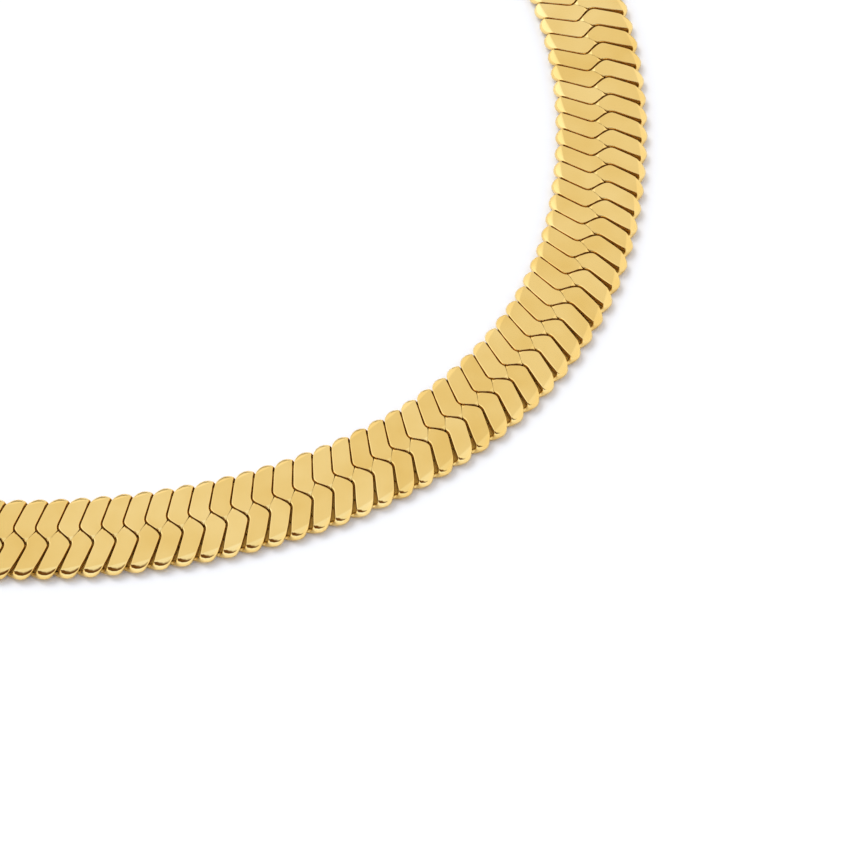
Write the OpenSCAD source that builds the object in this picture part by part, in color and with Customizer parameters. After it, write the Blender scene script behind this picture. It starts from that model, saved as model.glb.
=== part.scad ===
// Herringbone chain necklace lying in its closed loop on a flat surface.
// The origin is on the surface, half way between the sides and between the front and the back.
// +Y points to the clasp at the back, +X to the right seen from above, in millimetres.

/* [Loop] */
// Width of the loop, side to side, along the middle of the band
loop_w = 138.7; // [120:0.1:170]
// From the loop's widest line to its front, along the middle of the band
front_d = 52.7; // [50:0.1:80]
// From the loop's widest line to its back, along the middle of the band
back_d = 63.7; // [56:0.1:90]
// Squareness of the loop, where 2 is a plain oval
squareness = 2.12; // [2:0.01:2.25]

/* [Band] */
// Width of the band over its scalloped edges
band_w = 10; // [8:0.1:12]
// Thickness of the band
band_t = 1.4; // [1.2:0.05:2]
// Spacing of the links along the middle of the band
link_pitch = 2.33; // [2.2:0.01:2.7]

/* [Link] */
// Space between the upper and the lower leaves
layer_gap = 0.2; // [0.14:0.01:0.3]
// Height of the zigzag where the leaves meet along the middle
zigzag = 1.42; // [1.1:0.01:1.8]
// Length along the band of the zigzag's open seam
open_run = 1.36; // [1.1:0.01:1.4]
// Gap between two leaves at the zigzag, along the band
root_gap = 0.2; // [0.18:0.01:0.3]
// Gap between two leaves at the edge of a straight band
edge_gap = 0.4; // [0.38:0.01:0.6]
// Gap across the zigzag line
seam_gap = 0.19; // [0.18:0.01:0.24]
// Distance off the middle of the band where the leaves start to slant
slant_start = 1.05; // [1:0.01:1.3]
// How far a link moves along the band as it turns over the edge
turn_shift = 0.62; // [0.4:0.01:0.7]
// Depth of the scallop at each leaf's end
scallop = 0.9; // [0.6:0.01:0.95]
// How much the scallop leans along the band, as a share of its depth
scallop_lean = 0.31; // [0.1:0.01:0.4]
// Length cut from the leaf's corner beside the open seam
corner_cut = 0.3; // [0.1:0.01:0.4]
// Metal across the band where a link turns over the edge
turn_l = 1.2; // [1:0.05:1.6]

/* [End caps] */
// Length of the cap soldered on the last link
cap_l = 5.75; // [4:0.05:8]
// How far the cap stands out past each edge of the band
cap_side = 0.3; // [0.1:0.05:0.8]
// How far the cap stands above the band
cap_rise = 0.5; // [0.2:0.05:1]
// Corner radius of the cap
cap_r = 1.8; // [0.8:0.1:3]
// Clear space between the cap and the last loose link
cap_gap = 0.25; // [0.15:0.05:0.5]
// Thickness of the wire of the cap's ring
ring_wire = 0.8; // [0.6:0.05:1]
// Inner width of the cap's ring
ring_hole = 2; // [1.9:0.05:2.6]

/* [Clasp] */
// Length of the clasp between the middles of the two rings it holds
clasp_l = 11.7; // [11:0.1:16]
// Thickness of the clasp's eye and hook
clasp_wire = 0.8; // [0.7:0.02:0.84]
// Inner width of the clasp's eye
eye_hole = 1.66; // [1.6:0.02:2.4]
// Inner width of the clasp's hook
hook_hole = 2.9; // [2.4:0.1:3.4]
// Width of the clasp's body
clasp_w = 4.8; // [4.6:0.1:6]
// Height of the clasp's body
clasp_h = 2.9; // [2.8:0.1:3.2]

/* [Hidden] */
gold = [0.87, 0.70, 0.38];

half_w = band_w / 2;
half_t = band_t / 2;
leaf_in = layer_gap / 2;
amp = zigzag / 2;
shift = turn_shift / 2;
overlap = 0.1;

// The route is an oval of two halves, read by its length from the back, anticlockwise.
ROUTE_STEPS = 1440;
widest_y = (front_d - back_d) / 2;
function oval(v) = sign(v) * pow(abs(v), 2 / squareness);
function route_point(a) =
    let (depth = cos(a) > 0 ? back_d : front_d)
    [-loop_w / 2 * oval(sin(a)), widest_y + depth * oval(cos(a))];
route = [for (i = [0 : ROUTE_STEPS]) route_point(360 * i / ROUTE_STEPS)];
route_len = [for (i = 0, s = 0; i <= ROUTE_STEPS;
                  s = s + (i < ROUTE_STEPS ? norm(route[i + 1] - route[i]) : 0), i = i + 1) s];
loop_len = route_len[ROUTE_STEPS];
route_x = [for (i = [0 : ROUTE_STEPS]) [route_len[i], route[i].x]];
route_y = [for (i = [0 : ROUTE_STEPS]) [route_len[i], route[i].y]];
function place(s) = [lookup(s, route_x), lookup(s, route_y)];
function heading(s) =
    let (d = place(s + half_t) - place(s - half_t))
    atan2(d.y, d.x);

// The closure takes the back of the loop, and the links share out the rest evenly.
ring_out = ring_hole / 2 + ring_wire;
ring_mid = ring_out - ring_wire / 2;
cap_start = (open_run - root_gap) / 2 + cap_gap;
ring_x = cap_start + cap_l + ring_mid - ring_wire / 2;
first_s = clasp_l / 2 + ring_x;
steps = round((loop_len - 2 * first_s) / link_pitch);
pitch = (loop_len - 2 * first_s) / steps;
front_link = floor(steps / 2);
function link_s(i) = first_s + i * pitch;

// Outline of one leaf: the upper left leaf of a link, from its point between the two seams.
// The open seam is on its left and the closed one on its right, each raised by half the gap.
open_slope = zigzag / open_run;
closed_slope = zigzag / (pitch - open_run);
open_rise = seam_gap / 2 * sqrt(1 + pow(open_slope, 2));
closed_rise = seam_gap / 2 * sqrt(1 + pow(closed_slope, 2));
point_x = open_run / 2 - pitch;
tip_x = point_x + (open_rise - closed_rise) / (open_slope + closed_slope);
function open_y(x) = -amp + open_rise + open_slope * (point_x - x);
function closed_y(x) = -amp + closed_rise + closed_slope * (x - point_x);
right_x = -(open_run + root_gap) / 2;
left_x = -(open_run - root_gap) / 2 - pitch;
seam_cut = corner_cut / sqrt(1 + pow(open_slope, 2));

end_y = half_w - scallop;
end_hw = (pitch - edge_gap) / 2;
scallop_r = (end_hw * end_hw + scallop * scallop) / (2 * scallop);
scallop_a = acos(1 - scallop / scallop_r);
SCALLOP_STEPS = 6;
function end_mid(y) = -shift - scallop_lean * (half_w - y);
function scallop_points() = [for (k = [0 : SCALLOP_STEPS])
    let (a = scallop_a * (1 - 2 * k / SCALLOP_STEPS), y = half_w - scallop_r * (1 - cos(a)))
    [end_mid(y) + scallop_r * sin(a), y]];
leaf = concat(
    [[tip_x, open_y(tip_x)], [right_x, closed_y(right_x)], [right_x, slant_start]],
    scallop_points(),
    [[left_x, max(slant_start, open_y(left_x) + corner_cut)],
     [left_x + seam_cut, open_y(left_x + seam_cut)]]);

// The post that joins an upper and a lower leaf at the seams.
post = [[tip_x, open_y(tip_x)], [point_x + (amp - closed_rise) / closed_slope, 0],
        [tip_x, -open_y(tip_x)], [point_x - (amp - open_rise) / open_slope, 0]];

// The metal that joins the layers at the edge, inside the outlines of both leaves' ends.
function end_half(y) = y < end_y ? end_hw : sqrt(pow(scallop_r, 2) - pow(y - half_w + scallop_r, 2));
leaf_slant = (end_mid(end_y) + end_hw - right_x) / (end_y - slant_start);
function leaf_mid(y) = y < end_y ? end_mid(end_y) - leaf_slant * (end_y - y) : end_mid(y);
function shared_half(y) = end_half(y) + leaf_mid(y) - overlap / 2;
turn_rows = [half_w - turn_l, half_w - scallop / 2, half_w - scallop / 4];
turn = concat(
    [for (y = turn_rows) [shared_half(y), y]],
    [for (k = [2 : -1 : 0]) [-shared_half(turn_rows[k]), turn_rows[k]]]);

// Both leaves of one layer of a link, the second the first turned half round.
module leaf_pair() {
    linear_extrude(half_t - leaf_in) {
        polygon(leaf);
        rotate(180) polygon(leaf);
    }
}

// Band section with half-round edges, as long as one link.
module edge_form() {
    rotate([90, 0, 90])
        linear_extrude(4 * pitch, center = true) {
            square([2 * (half_w - half_t), band_t], center = true);
            for (dir = [-1, 1]) translate([dir * (half_w - half_t), 0]) circle(half_t, $fn = 48);
        }
}

// One closed link, standing on the surface and lying along +X.
module link() {
    translate([0, 0, half_t]) intersection() {
        edge_form();
        union() {
            translate([0, 0, leaf_in]) leaf_pair();
            mirror([0, 1, 0]) mirror([0, 0, 1]) translate([0, 0, leaf_in]) leaf_pair();
            translate([0, 0, -leaf_in - overlap])
                linear_extrude(layer_gap + 2 * overlap)
                    for (turned = [0, 180]) rotate(turned) {
                        polygon(post);
                        polygon(turn);
                    }
        }
    }
}

module at_route(s) {
    translate([place(s).x, place(s).y, 0]) rotate(heading(s)) children();
}

// Links between two counts, each through the next.
module link_run(from, to) {
    for (i = [from : to]) at_route(link_s(i)) link();
}

// Outline of the cap, seen from above, with the band entering at the left.
module cap_outline() {
    hw = half_w + cap_side;
    translate([cap_start, -hw]) square([cap_l - cap_r, 2 * hw]);
    translate([cap_start, -hw + cap_r]) square([cap_l, 2 * (hw - cap_r)]);
    for (dir = [-1, 1])
        translate([cap_start + cap_l - cap_r, dir * (hw - cap_r)]) circle(cap_r, $fn = 48);
}

// Cap soldered on a last link, with its upright ring, along +X.
module end_cap() {
    link();
    linear_extrude(band_t + cap_rise) cap_outline();
    translate([ring_x, 0, ring_out]) rotate([90, 0, 0])
        rotate_extrude($fn = 48) translate([ring_mid, 0]) circle(ring_wire / 2, $fn = 24);
}

// Middles of the two cap rings, which the clasp's length follows.
function ring_place(s, dir) =
    place(s) + dir * ring_x * [cos(heading(s)), sin(heading(s))];
ring_start = ring_place(first_s, -1);
ring_end = ring_place(loop_len - first_s, 1);

module chain_left() {
    color(gold) link_run(1, front_link);
}

module chain_right() {
    color(gold) link_run(front_link + 1, steps - 1);
}

module end_cap_left() {
    color(gold) at_route(first_s) rotate(180) end_cap();
}

module end_cap_right() {
    color(gold) at_route(loop_len - first_s) end_cap();
}

// Flat ring of square wire, its middle plane at z = 0.
module flat_ring(hole, wire) {
    difference() {
        cylinder(h = wire, r = hole / 2 + wire, center = true, $fn = 48);
        cylinder(h = 2 * wire, r = hole / 2, center = true, $fn = 48);
    }
}

// Plain closed clasp: eye, body and hook in one piece, lying between the cap rings.
module clasp() {
    reach = norm(ring_start - ring_end);
    eye_x = (eye_hole + clasp_wire - reach) / 2;
    hook_x = (reach - hook_hole - clasp_wire) / 2;
    body_x = eye_x + eye_hole / 2;
    body_l = hook_x - hook_hole / 2 - body_x;
    corner = clasp_w / 4;
    mid = (ring_start + ring_end) / 2;
    turned = atan2(ring_end.y - ring_start.y, ring_end.x - ring_start.x);
    color(gold) translate([mid.x, mid.y, 0]) rotate(turned) {
        translate([eye_x, 0, clasp_h / 2]) flat_ring(eye_hole, clasp_wire);
        translate([hook_x, 0, clasp_h / 2]) flat_ring(hook_hole, clasp_wire);
        translate([body_x + overlap, 0, 0]) linear_extrude(clasp_h) {
            length = body_l - 2 * overlap;
            translate([corner, -clasp_w / 2]) square([length - 2 * corner, clasp_w]);
            translate([0, -clasp_w / 2 + corner]) square([length, clasp_w - 2 * corner]);
            for (x = [corner, length - corner], dir = [-1, 1])
                translate([x, dir * (clasp_w / 2 - corner)]) circle(corner, $fn = 48);
        }
    }
}

chain_left();
chain_right();
end_cap_left();
end_cap_right();
clasp();
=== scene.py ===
import math
import bpy
import numpy as np
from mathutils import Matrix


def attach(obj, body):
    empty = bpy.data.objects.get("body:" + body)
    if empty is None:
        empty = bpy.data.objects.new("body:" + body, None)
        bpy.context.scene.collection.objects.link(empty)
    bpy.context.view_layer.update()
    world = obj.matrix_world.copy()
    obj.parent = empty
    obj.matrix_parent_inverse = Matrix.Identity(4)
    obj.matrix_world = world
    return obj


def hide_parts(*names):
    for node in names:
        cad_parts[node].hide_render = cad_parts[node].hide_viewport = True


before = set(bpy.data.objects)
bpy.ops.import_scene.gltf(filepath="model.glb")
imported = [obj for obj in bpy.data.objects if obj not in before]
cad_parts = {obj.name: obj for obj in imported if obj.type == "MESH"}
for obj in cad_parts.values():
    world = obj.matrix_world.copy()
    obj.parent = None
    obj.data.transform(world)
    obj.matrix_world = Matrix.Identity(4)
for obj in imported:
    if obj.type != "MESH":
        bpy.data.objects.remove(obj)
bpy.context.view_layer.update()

mm = 0.001
tiny = 1e-12


# The smaller of two curves, with the corner between them rounded over about `soft` mm:
# (a + b - sqrt((a - b)^2 + soft^2)) / 2.
def softMin(a, b, soft):
    return (a + b - np.sqrt((a - b) ** 2 + soft ** 2)) / 2


# Goes from 0 to 1 between two values with level ends: 3t^2 - 2t^3.
def ramp(x, start, end):
    t = np.clip((x - start) / (end - start), 0, 1)
    return t * t * (3 - 2 * t)


# A share t of the way from a to b: a + (b - a) t.
def between(a, b, t):
    return a + (b - a) * t


# Quads between neighbouring rows of a grid whose points are counted row by row, point (r, c) with
# (r, c + 1), (r + 1, c + 1) and (r + 1, c). Each row's last point is joined to its first.
def gridQuads(rows, columns):
    r = np.arange(rows - 1)[:, None]
    c = np.arange(columns)[None, :]
    a, b = r * columns + c, r * columns + (c + 1) % columns
    return np.stack([a, b, b + columns, a + columns], -1).reshape(-1, 4)


# Each corner's normal is the sum of the normals of its quads times the square of their areas,
# so broad faces stay flat and the narrow rims beside them turn the light.
def broadNormals(points, quads):
    p = points[quads]
    across = np.cross(p[:, 2] - p[:, 0], p[:, 3] - p[:, 1])
    across *= np.linalg.norm(across, axis=1)[:, None]
    total = np.zeros_like(points)
    np.add.at(total, quads, across[:, None, :])
    return total / (np.linalg.norm(total, axis=1)[:, None] + tiny)


# A shape's parts in one dictionary. `wall` is 1 down in a gap and 0 on top, and none unless given; it tells
# the material where to paint the gap shade.
def shapeOf(points, quads, normals, caps=(), wall=None):
    none = np.zeros(len(points))
    return dict(points=points, quads=quads, normals=normals, caps=list(caps),
                wall=none if wall is None else wall, tone=none)


# Joins shapes into one, counting each one's points on from the last one's.
def joinShapes(shapes):
    starts = np.cumsum([0] + [len(s["points"]) for s in shapes])
    joined = {key: np.concatenate([s[key] for s in shapes])
              for key in ("points", "normals", "wall", "tone")}
    joined["quads"] = np.concatenate([s["quads"] + a for s, a in zip(shapes, starts)])
    joined["caps"] = [[int(i + a) for i in cap] for s, a in zip(shapes, starts) for cap in s["caps"]]
    return joined


# Turns a shape about z by its heading h and moves it to its place:
# x' = x cos h - y sin h, y' = x sin h + y cos h.
def placeShape(shape, place, heading):
    c, s = np.cos(heading), np.sin(heading)
    turnBack = np.array([[c, s, 0], [-s, c, 0], [0, 0, 1]])
    return dict(shape, points=shape["points"] @ turnBack + np.array([place[0], place[1], 0]),
                normals=shape["normals"] @ turnBack)


# Puts a shape in millimetres into one mesh object at the origin, in place of its node.
def makePiece(name, shape, node, material):
    faces = shape["quads"].tolist() + shape["caps"]
    mesh = bpy.data.meshes.new(name)
    mesh.from_pydata((shape["points"] * mm).tolist(), [], faces)
    mesh.polygons.foreach_set("use_smooth", np.ones(len(faces), bool))
    # the wall depth, which places the painted gap shade, and each link's random tone, as attributes
    for label in ("wall", "tone"):
        layer = mesh.attributes.new(label, "FLOAT", "POINT")
        layer.data.foreach_set("value", shape[label].astype(np.float32))
    mesh.normals_split_custom_set_from_vertices(shape["normals"].tolist())
    mesh.materials.append(material)
    piece = bpy.data.objects.new(name, mesh)
    bpy.context.scene.collection.objects.link(piece)
    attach(piece, "root")
    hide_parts(node)
    print("piece", name, len(faces), "faces")


# The necklace's loop, in millimetres
loop = dict(
    width=138.7,        # side to side, along the middle of the band
    front=52.7,         # from the widest line to the front
    back=63.7,          # from the widest line to the back
    squareness=2.12,    # 2 is a plain oval
    bandWidth=10.0,
    bandThick=1.4,
    linkSpacing=2.33,
    claspLength=11.7,   # between the middles of the two cap rings, along the loop
    routePoints=1441,
    headingReach=0.7,   # half the chord that gives the heading
)
halfWidth = loop["bandWidth"] / 2
halfThick = loop["bandThick"] / 2


# The sine or cosine of an oval: its power of 2 / squareness, with its sign kept.
def ovalPart(v):
    return np.sign(v) * np.abs(v) ** (2 / loop["squareness"])


# Two half ovals that share their widest line, x = -width/2 oval(sin a) and y = depth oval(cos a), with
# the depth of the back or of the front. Read by the length from the middle of the back.
routeAngle = np.linspace(0, 2 * np.pi, loop["routePoints"])
routeX = -loop["width"] / 2 * ovalPart(np.sin(routeAngle))
routeDepth = np.where(np.cos(routeAngle) > 0, loop["back"], loop["front"])
routeY = (loop["front"] - loop["back"]) / 2 + routeDepth * ovalPart(np.cos(routeAngle))
routeLength = np.r_[0, np.cumsum(np.hypot(np.diff(routeX), np.diff(routeY)))]


# The place at a length s, straight between the route's points.
def routePlace(s):
    return np.stack([np.interp(s, routeLength, routeX), np.interp(s, routeLength, routeY)], -1)


# The heading at a length s: that of the chord from s - headingReach to s + headingReach.
def routeHeading(s):
    step = routePlace(s + loop["headingReach"]) - routePlace(s - loop["headingReach"])
    return np.arctan2(step[..., 1], step[..., 0])


# End caps with their upright rings
endCap = dict(
    mouth=0.83,         # from the last link's middle to the cap's mouth
    length=5.75,
    side=0.3,           # past the band's edge
    height=1.9,
    corner=1.8,         # of its outline, at the ring
    mouthCorner=0.35,   # and at the mouth
    underside=((0.5, 0), (0.12, 0.02), (0.03, 0.08), (0, 0.2)),     # inset and height up the lower edge
    edgeRound=0.34,     # rounding of the upper edge
    roundSteps=5,
    crown=((0.5, 0.02), (1.6, 0)),      # inset past the rounding, and how far below the top
    crownRise=0.05,     # of the top's middle over its rim
    ringWire=0.8,
    ringHole=2.0,
)
ringMiddle = (endCap["ringHole"] + endCap["ringWire"]) / 2
ringX = endCap["mouth"] + endCap["length"] + ringMiddle - endCap["ringWire"] / 2
firstLink = loop["claspLength"] / 2 + ringX
linkSteps = round((routeLength[-1] - 2 * firstLink) / loop["linkSpacing"])
pitch = (routeLength[-1] - 2 * firstLink) / linkSteps
print("route", round(routeLength[-1], 2), "mm,", linkSteps, "steps of", round(pitch, 4), "mm")


# One link: four leaves, each running from the zigzag in the middle out to the edge and half way round it
leaf = dict(
    layerGap=0.2,       # between the upper and the lower leaves
    slant=0.437,        # how far the leaves lean along the band, per mm across it
    bend=1.185,         # how far the zigzag's open seam swings back along the band
    bendEnd=1.42,       # where the swing ends, across the band
    closedSlant=0.83,   # lean of the closed seam
    openGap=0.2,        # gap between neighbours in the middle
    gapGrowth=0.004,    # and its growth with the square of the distance across
    closedGap=0.016,
    cornerCut=0.18,     # rounding of the corner between the closed seam and the gap

    fold=4.1,           # where the leaf starts to turn over the edge
    foldTilt=0.2,       # how much that line is out of true with the band
    tiltStart=2.6,      # and where the tilt sets in
    endHalf=0.98,       # half width of the turn at the edge
    endGrowth=0.8,      # how far before the fold the leaf starts to take that width
    edgeShift=0.23,     # how far the turn's outermost part stands along the band
    scallop=0.65,       # depth of its scallop, seen from above
    leanFade=1.6,       # power of the height by which the lean dies out down the turn
    # the turn's section as shares of its reach and of its height: a facet, then a tighter round
    edgeProfile=((0, 1), (0.35, 0.83), (0.66, 0.66), (0.8, 0.52), (0.95, 0.27), (1, 0)),
    # the sides take their round section in two parts: this share over the last bit of the flat,
    # and the rest down the turn, between two shares of its reach
    flatRound=0.25,
    flatRoundLength=0.3,
    turnRound=(-0.1, 0.5),

    rim=0.15,           # width of the polished rims along the sides
    rimDrop=0.075,      # and how far they fall
    seamRim=0.08,       # width of the rim at the open seam
    seamDrop=0.6,       # and its fall, as a share of rimDrop
    closedRim=0.01,     # the same at the closed seam, a hairline
    closedDrop=0.15,
    rimGrowth=(0.5, 1.0),   # from where to where, across the band, the rims grow to the full
    rimLimit=0.8,       # the most that a rim takes of the half width
    rimStep=0.3,        # share of the rim that takes most of its fall
    cornerPlace=0.8,    # where the closed seam turns into the gap, across the band
    cornerLength=0.22,
    cornerRim=0.1,      # how much wider the rim is there
    tipWidth=0.04,      # the root's blunt tip, cut down at a slant
    tipLength=0.42,
    tipDrop=0.17,
    leastHalf=0.01,     # least half width

    grooveDepth=0.26,   # how deep the side walls lean out, plumb below that
    grooveFoot=0.08,    # and how far they stand out there
    footGrowth=0.9,     # full that far across, from nothing at the tip
    footFall=0.6,       # share lost again towards the edge
    footFallEnds=(2, 4),
    wallReach=0.03,     # how far the walls' feet reach past the fold
    dropPull=0.4,       # how far a point draws in at the edge, per mm that it has fallen

    # rows of points: shares of the tip's length, places across the band, and one before the fold
    tipRows=(0, 0.5, 0.92, 1),
    flatRows=(-0.05, 0.1, 0.4, 0.66, 0.9, 1.15, 1.45, 3.2),
    foldRow=0.25,
    # columns of points from a wall's foot to the middle: how far across the turn, as shares of its half
    # width, how far down there, after the foot's own, and how deep in the gap each one counts for the
    # painted gap shade
    turnAcross=(1, 1, 1, 0.96, 0.8, 0.45),
    turnDrop=(0.3, 0.06, 0.02, 0, 0),
    wallDepth=(1, 1, 0.5, 0.1, 0, 0),

    postShare=0.8,      # size of the posts between the layers, as a share of the leaves' overlap
    toneSeed=11,        # of the links' tones
)
leafThick = halfThick - leaf["layerGap"] / 2


# The gap between neighbours, seen from above: a straight lean and a half wave that carries it over
# the middle of the band, g(y) = slant y - bend sin(pi/2 y/bendEnd), the wave held level past bendEnd.
def gapLine(y):
    wave = np.sin(np.pi / 2 * np.clip(y / leaf["bendEnd"], -1, 1))
    return leaf["slant"] * y - leaf["bend"] * wave


# A leaf's two sides: the left one is the gap line before it, g(y) - pitch, and the right one the closed
# seam, closedSlant y - pitch/2, then the gap line after it, each drawn in by half a gap measured square
# to the line.
def leafSides(y):
    step = 0.01
    lean = (gapLine(y + step) - gapLine(y - step)) / (2 * step)
    gap = (leaf["openGap"] + leaf["gapGrowth"] * y * y) / 2 * np.hypot(1, lean)
    closedGap = leaf["closedGap"] / 2 * math.hypot(1, leaf["closedSlant"])
    closed = -pitch / 2 + leaf["closedSlant"] * y - closedGap
    return gapLine(y) - pitch + gap, softMin(closed, gapLine(y) - gap, leaf["cornerCut"])


# The tip is where the two sides have come as near as the tip is wide.
acrossBand = np.linspace(-1, 0, 400)
leftSide, rightSide = leafSides(acrossBand)
tipY = float(np.interp(leaf["tipWidth"], rightSide - leftSide, acrossBand))
print("tip of the leaf at", round(tipY, 3), "mm from the middle")


# A row of columns right across the leaf, from those of its two sides, each counted from its foot.
def bothSides(left, right):
    middle = np.zeros((len(left), 1))
    return np.hstack([left, middle, right[:, ::-1]])


# The columns of one side on the flat, from the foot of its wall to half way to the middle: how far
# across, as shares of the half width, and how far below the top.
def flatSide(rim, fall):
    one = np.ones_like(rim)
    step = leaf["rimStep"]
    across = np.stack([one, one, one, 1 - step * rim, 1 - rim, (1 - rim) / 2], 1)
    drop = np.stack([leafThick * one, leaf["grooveDepth"] * one, fall, step * fall, 0 * one, 0 * one], 1)
    return across, drop


# The polished rims' columns on both sides: full along the gap, thinner at the open seam, a hairline at
# the closed one, and wide at the corner between the two, a bell exp(-((s - cornerPlace)/cornerLength)^2).
def rimColumns(s, half):
    grow = ramp(s, *leaf["rimGrowth"])
    corner = np.exp(-((s - leaf["cornerPlace"]) / leaf["cornerLength"]) ** 2)
    most = half * leaf["rimLimit"]
    leftRim = np.minimum(between(leaf["seamRim"], leaf["rim"], grow), most) / half
    rightRim = between(leaf["closedRim"], leaf["rim"], grow) + leaf["cornerRim"] * corner
    rightRim = np.minimum(rightRim, most) / half
    leftAcross, leftDrop = flatSide(leftRim, leaf["rimDrop"] * between(leaf["seamDrop"], 1, grow))
    rightFall = leaf["rimDrop"] * (between(leaf["closedDrop"], 1, grow) + corner)
    rightAcross, rightDrop = flatSide(rightRim, rightFall)
    return bothSides(-leftAcross, rightAcross), bothSides(leftDrop, rightDrop)


# A strip with the section of a plate, carried from the zigzag out to the edge and round it to mid height.
# With u from -1 to 1 across the strip, w its half width and a, b the edge profile's shares:
# x = middle + u w, y = s + e(u) a, z = top b, where s stops at the fold and e(u) is the depth that a
# scallop of radius R leaves in front of it, halfWidth - fold - (R - sqrt(R^2 - (endHalf u)^2)).
# The fold's tilt then moves each point across the band by a share of u w, and on along the slant.
def leafShape():
    fold = leaf["fold"]
    tipRows = tipY + leaf["tipLength"] * np.array(leaf["tipRows"])
    root = np.r_[tipRows, leaf["flatRows"], fold - leaf["foldRow"]]
    outward, upward = np.array(leaf["edgeProfile"]).T
    s = np.r_[root, np.full(len(outward), fold)]
    outward, upward = np.r_[0 * root, outward], np.r_[0 * root + 1, upward]
    left, right = leafSides(s)
    middle = (left + right) / 2 * upward ** leaf["leanFade"]
    half = np.maximum((right - left) / 2, leaf["leastHalf"])
    half = between(half, leaf["endHalf"], ramp(s, fold - leaf["endGrowth"], fold))

    # the section: from that of the flat to that of the turn
    flatAcross, flatDrop = rimColumns(s, half)
    turnSide = np.array([leaf["turnAcross"]])
    turnFall = np.array([(leafThick, *leaf["turnDrop"])])
    rounding = leaf["flatRound"] * ramp(s, fold - leaf["flatRoundLength"], fold)
    rounding = (rounding + (1 - leaf["flatRound"]) * ramp(outward, *leaf["turnRound"]))[:, None]
    across = between(flatAcross, bothSides(-turnSide, turnSide), rounding)
    drop = between(flatDrop, bothSides(turnFall, turnFall), rounding)
    tipFall = leaf["tipDrop"] * np.clip(1 - (s - tipY) / leaf["tipLength"], 0, 1)
    drop[:, 2:-2] += tipFall[:, None]

    # the walls lean out to their feet, the first two and the last two columns
    foot = leaf["grooveFoot"] * (1 - leaf["footFall"] * ramp(s, *leaf["footFallEnds"]))
    foot = foot * ramp(s, tipY, leaf["footGrowth"])
    offset = half[:, None] * across
    offset[:, :2] -= foot[:, None]
    offset[:, -2:] += (foot * ramp(s, *leaf["rimGrowth"]))[:, None]

    circle = (leaf["endHalf"] ** 2 + leaf["scallop"] ** 2) / (2 * leaf["scallop"])
    inset = circle - np.sqrt(circle ** 2 - (leaf["endHalf"] * across) ** 2)
    reach = halfWidth - fold - inset
    reach[:, [0, -1]] = leaf["wallReach"]
    reach[:, 1:-1] -= drop[:, 1:-1] * leaf["dropPull"]
    tilt = (leaf["foldTilt"] * ramp(s, leaf["tiltStart"], fold) * upward)[:, None]
    x = middle[:, None] + (1 + leaf["slant"] * tilt) * offset
    y = s[:, None] + reach * outward[:, None] + tilt * offset
    z = (halfThick - drop) * upward[:, None]

    rows, columns = x.shape
    wallSide = np.array([leaf["wallDepth"]])
    return dict(points=np.stack([x, y, z], -1).reshape(-1, 3), quads=gridQuads(rows, columns),
                cap=np.arange(columns)[::-1], wall=np.tile(bothSides(wallSide, wallSide).reshape(-1), rows),
                outward=np.repeat(outward, columns))


# A short post between the layers at one end of the link, a rhomb drawn up and down by layerGap. It is
# the overlap of the upper and the lower leaf, with its corners at their two tips and at their sides on
# the middle line, drawn in to postShare of its size.
def postShape(side):
    left, right = leafSides(np.zeros(1))
    tipX = float(np.mean(leafSides(np.array([tipY]))))
    cornerX = np.array([tipX, right[0], tipX, left[0]])
    cornerY = np.array([tipY, 0, -tipY, 0])
    ring = side * np.stack([between(tipX, cornerX, leaf["postShare"]), leaf["postShare"] * cornerY], 1)
    count = len(ring)
    low = np.c_[ring, np.full(count, -leaf["layerGap"])]
    high = np.c_[ring, np.full(count, leaf["layerGap"])]
    points = np.r_[low, high]
    ends = [np.arange(count)[::-1], count + np.arange(count)]
    quads = np.concatenate([gridQuads(2, count), ends])
    # the posts count as deep in the gap all over, so they take the full painted gap shade
    return shapeOf(points, quads, broadNormals(points, quads), wall=np.ones(2 * count))


# The whole link: the leaf turned half round about z, x and y, the leaves joined two by two where they
# meet at mid height, and two posts.
def linkShape():
    one = leafShape()
    count, columns = len(one["points"]), len(one["cap"])
    halfTurns = np.array([[1, 1, 1], [-1, -1, 1], [1, -1, -1], [-1, 1, -1]])
    points = one["points"][None] * halfTurns[:, None, :]
    # the turns stand along the band one way at its one edge and the other way at the other
    points[..., 0] -= leaf["edgeShift"] * one["outward"] * halfTurns[:, 1:2]
    points = points.reshape(-1, 3)
    starts = np.arange(len(halfTurns)) * count
    quads = np.concatenate([one["quads"] + start for start in starts])
    caps = one["cap"] + starts[:, None]
    wall = np.tile(one["wall"], len(halfTurns))

    # the last row of the 4th leaf is that of the 1st read backwards, and so the 3rd's is the 2nd's
    keep = np.arange(len(points))
    last = np.arange(count - columns, count)
    keep[starts[3] + last] = last[::-1]
    keep[starts[2] + last] = starts[1] + last[::-1]
    quads = keep[quads]
    used = np.unique(np.r_[quads.reshape(-1), caps.reshape(-1)])
    order = np.zeros(len(points), int)
    order[used] = np.arange(len(used))
    normals = broadNormals(points, quads)
    leaves = shapeOf(points[used], order[quads], normals[used], order[caps].tolist(), wall[used])
    link = joinShapes([leaves, postShape(1), postShape(-1)])
    link["points"] = link["points"] + np.array([0, 0, halfThick])
    return link


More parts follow.
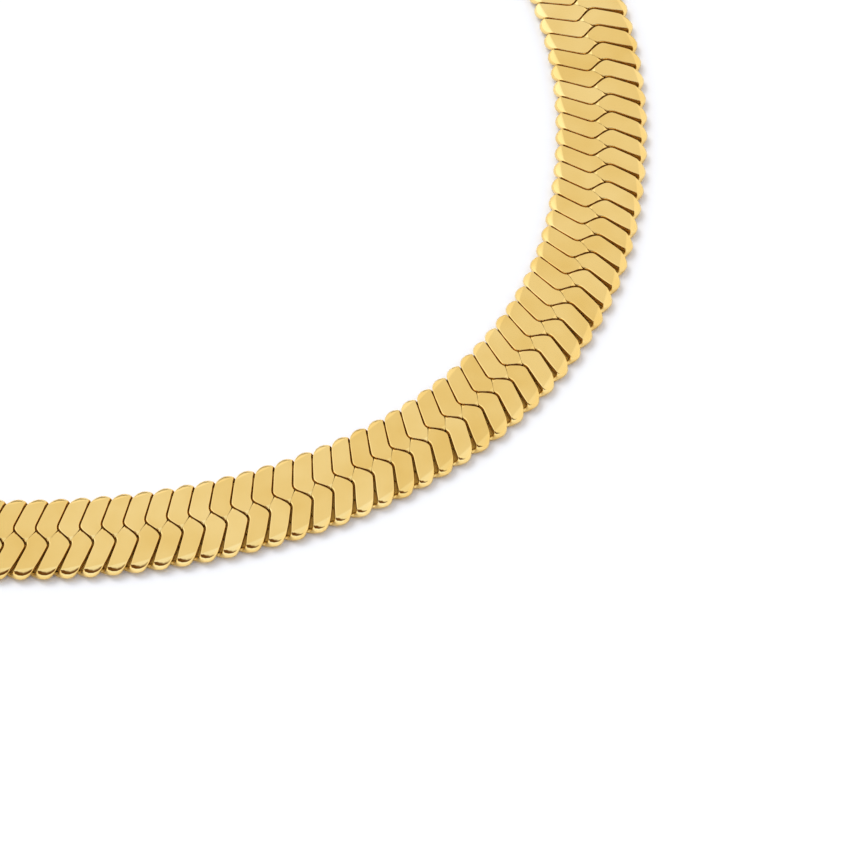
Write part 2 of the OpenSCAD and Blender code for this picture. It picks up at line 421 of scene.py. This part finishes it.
# Copies of the link along the route, all turned and moved at once as placeShape does with one.
def linkRun(link, counts):
    counts = np.array(counts)
    s = firstLink + counts * pitch
    heading, place = routeHeading(s), routePlace(s)
    cosH, sinH = np.cos(heading)[:, None], np.sin(heading)[:, None]
    turned = {}
    for key in ("points", "normals"):
        x, y, z = (link[key][:, k][None] for k in range(3))
        turned[key] = np.stack([x * cosH - y * sinH, x * sinH + y * cosH, z + 0 * cosH], -1)
    turned["points"][..., :2] += place[:, None, :]
    size, caps = len(link["points"]), np.array(link["caps"])
    starts = (np.arange(len(s)) * size)[:, None, None]
    tone = np.random.default_rng(leaf["toneSeed"]).uniform(-1, 1, linkSteps + 1)[counts]
    return dict(points=turned["points"].reshape(-1, 3), normals=turned["normals"].reshape(-1, 3),
                quads=(link["quads"][None] + starts).reshape(-1, 4),
                caps=(caps[None] + starts).reshape(-1, caps.shape[1]).tolist(),
                wall=np.tile(link["wall"], len(s)), tone=np.repeat(tone, size))


# An outline carried up through pairs of inset and height, with flat ends: a rounded rectangle from x0 to
# x1, drawn in by the inset, with corner radii near x0 and far from it that shrink by the inset too.
def pillowShape(x0, x1, halfY, near, far, profile, steps=7, leastRadius=0.02):
    bend = np.linspace(0, np.pi / 2, steps)
    rings = []
    for inset, z in profile:
        ring = []
        for quarter, (cx, cy, radius) in enumerate(((x1, halfY, far), (x0, halfY, near),
                                                    (x0, -halfY, near), (x1, -halfY, far))):
            r = max(radius - inset, leastRadius)
            sx, sy = (1 if cx == x1 else -1), (1 if cy > 0 else -1)
            a = bend + quarter * np.pi / 2
            x = cx - sx * (inset + r) + r * np.cos(a)
            y = cy - sy * (inset + r) + r * np.sin(a)
            ring.append(np.stack([x, y, np.full(steps, z)], 1))
        rings.append(np.concatenate(ring))
    points = np.concatenate(rings)
    count = 4 * steps
    quads = gridQuads(len(rings), count)
    bottom = list(range(count - 1, -1, -1))
    top = list(range(len(points) - count, len(points)))
    normals = broadNormals(points, quads)
    normals[top] = (0, 0, 1)
    return shapeOf(points, quads, normals, [bottom, top])


# A ring of round wire: with a round the ring and b round the wire, the point is
# radius (cos a, sin a, 0) + wire/2 (cos a cos b, sin a cos b, sin b), flat, or turned upright about x.
def ringShape(centre, radius, wire, upright, around=48, across=16):
    a = np.linspace(0, 2 * np.pi, around, endpoint=False)[:, None]
    b = np.linspace(0, 2 * np.pi, across, endpoint=False)[None, :]
    out = np.stack([np.cos(a) * np.cos(b), np.sin(a) * np.cos(b), np.sin(b) + 0 * a], -1)
    core = np.stack([np.cos(a) + 0 * b, np.sin(a) + 0 * b, 0 * a + 0 * b], -1)
    points, normals = radius * core + wire / 2 * out, out
    if upright:
        points, normals = (v[..., [0, 2, 1]] * np.array([1, -1, 1]) for v in (points, normals))
    index = np.arange(around * across).reshape(around, across)
    beside = np.roll(index, -1, 1)
    quads = np.stack([index, np.roll(index, -1, 0), np.roll(beside, -1, 0), beside], -1).reshape(-1, 4)
    return shapeOf(points.reshape(-1, 3) + np.array(centre), quads, normals.reshape(-1, 3))


# The cap in its own frame, with the band coming in from the left: plate, last link and upright ring.
# The plate's upper edge is a quarter circle, inset r (1 - cos b) and r (1 - sin b) below the rim.
def endCapShape(link):
    top, edge = endCap["height"], endCap["edgeRound"]
    rimTop = top - endCap["crownRise"]
    bend = np.linspace(0, np.pi / 2, endCap["roundSteps"])
    profile = list(endCap["underside"])
    profile += [(edge * (1 - math.cos(b)), rimTop - edge * (1 - math.sin(b))) for b in bend]
    profile += [(edge + inset, top - below) for inset, below in endCap["crown"]]
    plate = pillowShape(endCap["mouth"], endCap["mouth"] + endCap["length"], halfWidth + endCap["side"],
                        endCap["mouthCorner"], endCap["corner"], profile)
    ringRise = endCap["ringHole"] / 2 + endCap["ringWire"]
    ring = ringShape((ringX, 0, ringRise), ringMiddle, endCap["ringWire"], True)
    return joinShapes([link, plate, ring])


# The small one-piece clasp between the two rings
clasp = dict(
    wire=0.8,
    eyeHole=1.66,
    hookHole=2.9,
    bodyStart=0.1,      # from the holes to the body
    width=4.8,
    height=2.9,
    corner=0.25,        # of its outline, as a share of the width
    edgeRound=0.75,
    roundSteps=6,
)


# The clasp in its own frame. The wires of its eye and its hook run through the middles of the two cap
# rings, reach apart, and the lower and upper edges of the body between them are quarter circles.
def claspShape(reach):
    eyeX = (clasp["eyeHole"] + clasp["wire"] - reach) / 2
    hookX = (reach - clasp["hookHole"] - clasp["wire"]) / 2
    start = eyeX + clasp["eyeHole"] / 2 + clasp["bodyStart"]
    end = hookX - clasp["hookHole"] / 2 - clasp["bodyStart"]
    edge, top = clasp["edgeRound"], clasp["height"]
    bend = np.linspace(0, np.pi / 2, clasp["roundSteps"])
    profile = [(edge * (1 - math.sin(b)), edge * (1 - math.cos(b))) for b in bend]
    profile += [(edge * (1 - math.cos(b)), top - edge * (1 - math.sin(b))) for b in bend]
    corner = clasp["corner"] * clasp["width"]
    body = pillowShape(start, end, clasp["width"] / 2, corner, corner, profile)
    rings = [ringShape((x, 0, top / 2), (hole + clasp["wire"]) / 2, clasp["wire"], False)
             for x, hole in ((eyeX, clasp["eyeHole"]), (hookX, clasp["hookHole"]))]
    return joinShapes([body] + rings)


# A node of one kind, named for what it does, with its settings.
def addNode(tree, kind, label, **settings):
    node = tree.nodes.new(kind)
    node.name = node.label = label
    for key, value in settings.items():
        setattr(node, key, value)
    return node


# Gives an input a value, or links another node's output to it.
def feed(socket, value):
    if isinstance(value, bpy.types.NodeSocket):
        socket.id_data.links.new(value, socket)
    else:
        socket.default_value = value


# Feeds a node's inputs by name, with _ for a space.
def feedInputs(node, **values):
    for key, value in values.items():
        feed(node.inputs[key.replace("_", " ")], value)
    return node


# A math node, its inputs fed in order.
def addMath(tree, label, operation, *values, **settings):
    node = addNode(tree, "ShaderNodeMath", label, operation=operation, **settings)
    for socket, value in zip(node.inputs, values):
        feed(socket, value)
    return node.outputs[0]


# A noise pattern, as one number that changes over the place.
def addNoise(tree, label, place, scale, detail):
    noise = addNode(tree, "ShaderNodeTexNoise", label)
    return feedInputs(noise, Vector=place, Scale=scale, Detail=detail).outputs["Fac"]


# Goes from 0 at start to 1 at end, with level ends as in ramp.
def addSmoothRange(tree, label, value, start, end):
    node = addNode(tree, "ShaderNodeMapRange", label, interpolation_type="SMOOTHSTEP")
    return feedInputs(node, Value=value, From_Min=start, From_Max=end).outputs["Result"]


# A colour between two. A Mix node keeps its colours in the inputs 6 and 7 and the output 2.
def mixColors(tree, label, share, first, second):
    node = feedInputs(addNode(tree, "ShaderNodeMix", label, data_type="RGBA"), Factor=share)
    feed(node.inputs[6], first)
    feed(node.inputs[7], second)
    return node.outputs[2]


# The chain's finish, and what the fittings have otherwise
goldFinish = dict(
    color=(0.94, 0.664, 0.235, 1),
    # painted shade: a darker, redder gold laid down in the gaps between the links, where shade falls
    gapShadeColor=(0.8, 0.49, 0.1, 1),
    roughness=0.1,
    tone=0.12,                  # how much the tone changes
    polishLines=0.5,            # how much the polishing lines change the roughness
    bumpDistance=0.0000015,     # metres
)
fittingFinish = dict(
    roughness=0.14,
    tone=0.06,
    polishLines=0.7,
)
# Patterns of the skin that both share, with scales in cells per metre
skinPattern = dict(
    slowScale=240.0,
    slowDetail=2.0,
    linkTone=0.22,              # weight of each link's own tone beside the slow one
    deepening=-3.0,             # power of the tone that gives the colour's gamma
    lineScale=(900, 7000, 900),
    lineTurn=0.6,               # radians about z
    lineDetail=3.0,
    lineHeight=0.15,            # of the polishing lines beside the unevenness
    unevenScale=420.0,
    unevenDetail=1.0,
    wallStart=0.45,             # wall depth at which the painted gap shade starts
    wallRoughness=0.5,          # added at the bottom of a gap
)
skinInputs = (
    # the skin's input, and its name in a finish
    ("Color", "color"),
    ("Gap Shade Color", "gapShadeColor"),
    ("Roughness", "roughness"),
    ("Tone", "tone"),
    ("Polish Lines", "polishLines"),
)


# Shared skin of the polished gold: slow changes of tone, faint polishing lines, a hint of unevenness
# for the bump, and duller metal with painted shade, a darker and redder colour, down in the gaps.
def polishedSkinGroup():
    group = bpy.data.node_groups.new("polishedSkin", "ShaderNodeTree")
    for label, key in skinInputs:
        kind = "NodeSocketColor" if "Color" in label else "NodeSocketFloat"
        socket = group.interface.new_socket(label, in_out="INPUT", socket_type=kind)
        socket.default_value = goldFinish[key]
        if kind == "NodeSocketFloat":
            socket.min_value, socket.max_value = 0, 1
    for label, kind in (("Color", "NodeSocketColor"), ("Roughness", "NodeSocketFloat"),
                        ("Height", "NodeSocketFloat")):
        group.interface.new_socket(label, in_out="OUTPUT", socket_type=kind)
    inside = addNode(group, "NodeGroupInput", "inside")
    outside = addNode(group, "NodeGroupOutput", "outside")
    place = addNode(group, "ShaderNodeTexCoord", "place").outputs["Object"]
    wall = addNode(group, "ShaderNodeAttribute", "wall depth", attribute_name="wall").outputs["Fac"]
    linkTone = addNode(group, "ShaderNodeAttribute", "link tone", attribute_name="tone").outputs["Fac"]

    # the patterns; a noise is 0.5 on the average
    slow = addNoise(group, "slow tone", place, skinPattern["slowScale"], skinPattern["slowDetail"])
    spread = feedInputs(addNode(group, "ShaderNodeMapping", "stretched lines"), Vector=place,
                        Scale=skinPattern["lineScale"], Rotation=(0, 0, skinPattern["lineTurn"]))
    lines = addNoise(group, "polishing lines", spread.outputs["Vector"], 1.0, skinPattern["lineDetail"])
    lines = addMath(group, "lines about none", "SUBTRACT", lines, 0.5)
    lines = addMath(group, "lines part", "MULTIPLY", lines, inside.outputs["Polish Lines"])
    uneven = addNoise(group, "uneven", place, skinPattern["unevenScale"], skinPattern["unevenDetail"])
    # how deep a point lies in a gap: where the painted gap shade and the duller roughness come in
    deep = addSmoothRange(group, "deep in the gap", wall, skinPattern["wallStart"], 1.0)

    # colour: a little lighter or darker from link to link and over the metal, the darker the deeper
    tone = addMath(group, "both tones", "MULTIPLY_ADD", linkTone, skinPattern["linkTone"], slow)
    tone = addMath(group, "centred", "SUBTRACT", tone, 0.5)
    tone = addMath(group, "scaled tone", "MULTIPLY_ADD", tone, inside.outputs["Tone"], 1.0)
    gamma = addMath(group, "darker is deeper", "POWER", tone, skinPattern["deepening"])
    saturated = feedInputs(addNode(group, "ShaderNodeGamma", "saturated"),
                           Color=inside.outputs["Color"], Gamma=gamma)
    tinted = feedInputs(addNode(group, "ShaderNodeVectorMath", "tinted", operation="SCALE"),
                        Vector=saturated.outputs["Color"], Scale=tone)
    # painted shade: the colour turns to the gap shade colour down the walls between the links
    color = mixColors(group, "painted gap shade", deep, tinted.outputs["Vector"], inside.outputs["Gap Shade Color"])

    # roughness: with the lines, and duller down the walls; height: faint unevenness with the lines on it
    plain = inside.outputs["Roughness"]
    rough = addMath(group, "rough", "MULTIPLY_ADD", lines, plain, plain)
    rough = addMath(group, "duller walls", "MULTIPLY_ADD", deep, skinPattern["wallRoughness"], rough,
                    use_clamp=True)
    height = addMath(group, "height", "MULTIPLY_ADD", lines, skinPattern["lineHeight"], uneven)
    feedInputs(outside, Color=color, Roughness=rough, Height=height)
    return group


# A gold with the shared skin, its finish given by what it has otherwise than goldFinish.
def goldMaterial(name, skin, **changes):
    finish = dict(goldFinish, **changes)
    material = bpy.data.materials.new(name)
    material.use_nodes = True
    tree = material.node_tree
    tree.nodes.clear()
    surface = addNode(tree, "ShaderNodeGroup", "skin", node_tree=skin)
    for label, key in skinInputs:
        feed(surface.inputs[label], finish[key])
    bump = feedInputs(addNode(tree, "ShaderNodeBump", "uneven"), Distance=finish["bumpDistance"],
                      Height=surface.outputs["Height"])
    metal = feedInputs(addNode(tree, "ShaderNodeBsdfPrincipled", "metal"), Metallic=1.0,
                       Base_Color=surface.outputs["Color"], Roughness=surface.outputs["Roughness"],
                       Normal=bump.outputs["Normal"])
    feedInputs(addNode(tree, "ShaderNodeOutputMaterial", "out"), Surface=metal.outputs["BSDF"])
    return material


skin = polishedSkinGroup()
chainGold = goldMaterial("chainGold", skin)
fittingGold = goldMaterial("fittingGold", skin, **fittingFinish)
print("materials made")

link = linkShape()
print("one link of", len(link["quads"]) + len(link["caps"]), "faces")
frontLink = linkSteps // 2
leftRun, rightRun = linkRun(link, range(1, frontLink + 1)), linkRun(link, range(frontLink + 1, linkSteps))
makePiece("chainLeft", leftRun, "chain_left", chainGold)
makePiece("chainRight", rightRun, "chain_right", chainGold)

# each cap points out of its end of the chain, and the clasp lies between the middles of their rings
capHere = endCapShape(link)
lastLink = routeLength[-1] - firstLink
ringPlaces = []
for name, node, s, back in (("endCapLeft", "end_cap_left", firstLink, math.pi),
                            ("endCapRight", "end_cap_right", lastLink, 0)):
    heading = float(routeHeading(np.array(s))) + back
    place = routePlace(np.array(s))
    makePiece(name, placeShape(capHere, place, heading), node, fittingGold)
    ringPlaces.append(place + ringX * np.array([math.cos(heading), math.sin(heading)]))
claspWay = ringPlaces[1] - ringPlaces[0]
claspHere = placeShape(claspShape(float(np.hypot(*claspWay))), (ringPlaces[0] + ringPlaces[1]) / 2,
                       math.atan2(claspWay[1], claspWay[0]))
makePiece("claspBody", claspHere, "clasp", fittingGold)


# Camera at the photo's angle, in millimetres and degrees
camera = dict(
    aim=(56.08, -37.54, 0),
    turn=7.727,             # towards +X from straight in front
    elevation=55.442,
    distance=907.95,
    lens=356.893,
    sensor=36,
    clip=(0.01, 20),        # metres
)


def makeCamera():
    turn, lift = math.radians(camera["turn"]), math.radians(camera["elevation"])
    away = np.array([math.sin(turn) * math.cos(lift), -math.cos(turn) * math.cos(lift), math.sin(lift)])
    data = bpy.data.cameras.new("camera")
    data.sensor_fit, data.sensor_width, data.lens = "HORIZONTAL", camera["sensor"], camera["lens"]
    data.clip_start, data.clip_end = camera["clip"]
    eye = bpy.data.objects.new("camera", data)
    eye.location = (np.array(camera["aim"]) + camera["distance"] * away) * mm
    eye.rotation_euler = (math.pi / 2 - lift, 0, turn)
    bpy.context.scene.collection.objects.link(eye)
    bpy.context.scene.camera = eye


# Soft studio: a pale dome with a broad bright side at the left, a dim low back and a small warm dark
# place high in front
studio = dict(
    floorHalf=3.0,          # metres
    floorColor=(0.9, 0.9, 0.9, 1),
    floorRoughness=0.8,
    dome=(1.05, 1.05, 1.05),
    backdrop=(1, 1, 1, 1),  # what the camera sees past the floor
    lampFrom=(-0.5, 0.45, 0.9),
    lampStrength=1.15,
    lampSpread=30,
    parts=(
        # name, direction to its middle, width over height, reach where it starts and is full, radiance
        ("zenith", (0, 0, 1), 1, 0.9, 0.2, (0.97, 1.06, 1.28)),
        ("backSky", (-0.076, 0.562, 0.824), 1, 0.6, 0.4, (0.89, 0.89, 0.89)),
        ("lowBack", (0, 1, -0.12), 3, 0.36, 0.2, (0.35, 0.34, 0.33)),
        ("leftSide", (-0.8, 0.05, 0.6), 1.2, 0.62, 0.3, (1.2, 1.36, 1.6)),
        ("lowFront", (0.1, -1, 0.25), 2, 0.5, 0.25, (1.05, 1.2, 1.55)),
        ("cameraShade", (0.076, -0.6, 0.79), 2.2, 0.42, 0.3, (0.15, 0.07, 0.02)),
    ),
)


# The sky: each part is laid over the ones before it, by how near the direction is to the part's middle,
# the length of the way between their two points on the unit sphere, squeezed sideways.
def makeSky():
    world = bpy.data.worlds.new("studio")
    bpy.context.scene.world = world
    world.use_nodes = True
    tree = world.node_tree
    tree.nodes.clear()
    direction = addNode(tree, "ShaderNodeTexCoord", "direction").outputs["Generated"]
    level = (*studio["dome"], 1)
    for name, towards, wide, start, full, radiance in studio["parts"]:
        unit = np.array(towards) / np.linalg.norm(towards)
        sideways = math.atan2(unit[1], unit[0]) + math.pi / 2
        away = feedInputs(addNode(tree, "ShaderNodeMapping", name, vector_type="TEXTURE"), Vector=direction,
                          Location=unit.tolist(), Rotation=(0, 0, sideways), Scale=(wide, 1, 1))
        reach = feedInputs(addNode(tree, "ShaderNodeVectorMath", name + "Reach", operation="LENGTH"),
                           Vector=away.outputs["Vector"])
        share = addSmoothRange(tree, name + "Share", reach.outputs["Value"], start, full)
        level = mixColors(tree, name + "Mix", share, level, (*radiance, 1))
    sky = feedInputs(addNode(tree, "ShaderNodeBackground", "sky"), Color=level, Strength=1.0)
    seen = feedInputs(addNode(tree, "ShaderNodeBackground", "backdrop"), Color=studio["backdrop"],
                      Strength=1.0)
    path = addNode(tree, "ShaderNodeLightPath", "path")
    choose = addNode(tree, "ShaderNodeMixShader", "choose")
    choice = (path.outputs["Is Camera Ray"], sky.outputs[0], seen.outputs[0])
    for socket, output in zip(choose.inputs, choice):
        feed(socket, output)
    feedInputs(addNode(tree, "ShaderNodeOutputWorld", "out"), Surface=choose.outputs[0])


def makeFloor():
    paper = bpy.data.materials.new("paper")
    paper.use_nodes = True
    feedInputs(paper.node_tree.nodes["Principled BSDF"], Base_Color=studio["floorColor"],
               Roughness=studio["floorRoughness"])
    size = studio["floorHalf"]
    corners = [(-size, -size, 0), (size, -size, 0), (size, size, 0), (-size, size, 0)]
    mesh = bpy.data.meshes.new("floor")
    mesh.from_pydata(corners, [], [(0, 1, 2, 3)])
    mesh.materials.append(paper)
    floor = bpy.data.objects.new("floor", mesh)
    bpy.context.scene.collection.objects.link(floor)


# A broad lamp behind at the left for the soft shadow, left out of the reflections
def makeLamp():
    lamp = bpy.data.lights.new("windowLight", "SUN")
    lamp.energy, lamp.angle = studio["lampStrength"], math.radians(studio["lampSpread"])
    window = bpy.data.objects.new("windowLight", lamp)
    x, y, z = studio["lampFrom"]
    window.rotation_euler = (math.atan2(math.hypot(x, y), z), 0, math.atan2(x, -y))
    window.visible_glossy = False
    bpy.context.scene.collection.objects.link(window)


makeCamera()
makeSky()
makeFloor()
makeLamp()
bpy.context.scene.view_settings.view_transform = "Standard"
print("camera and studio made")
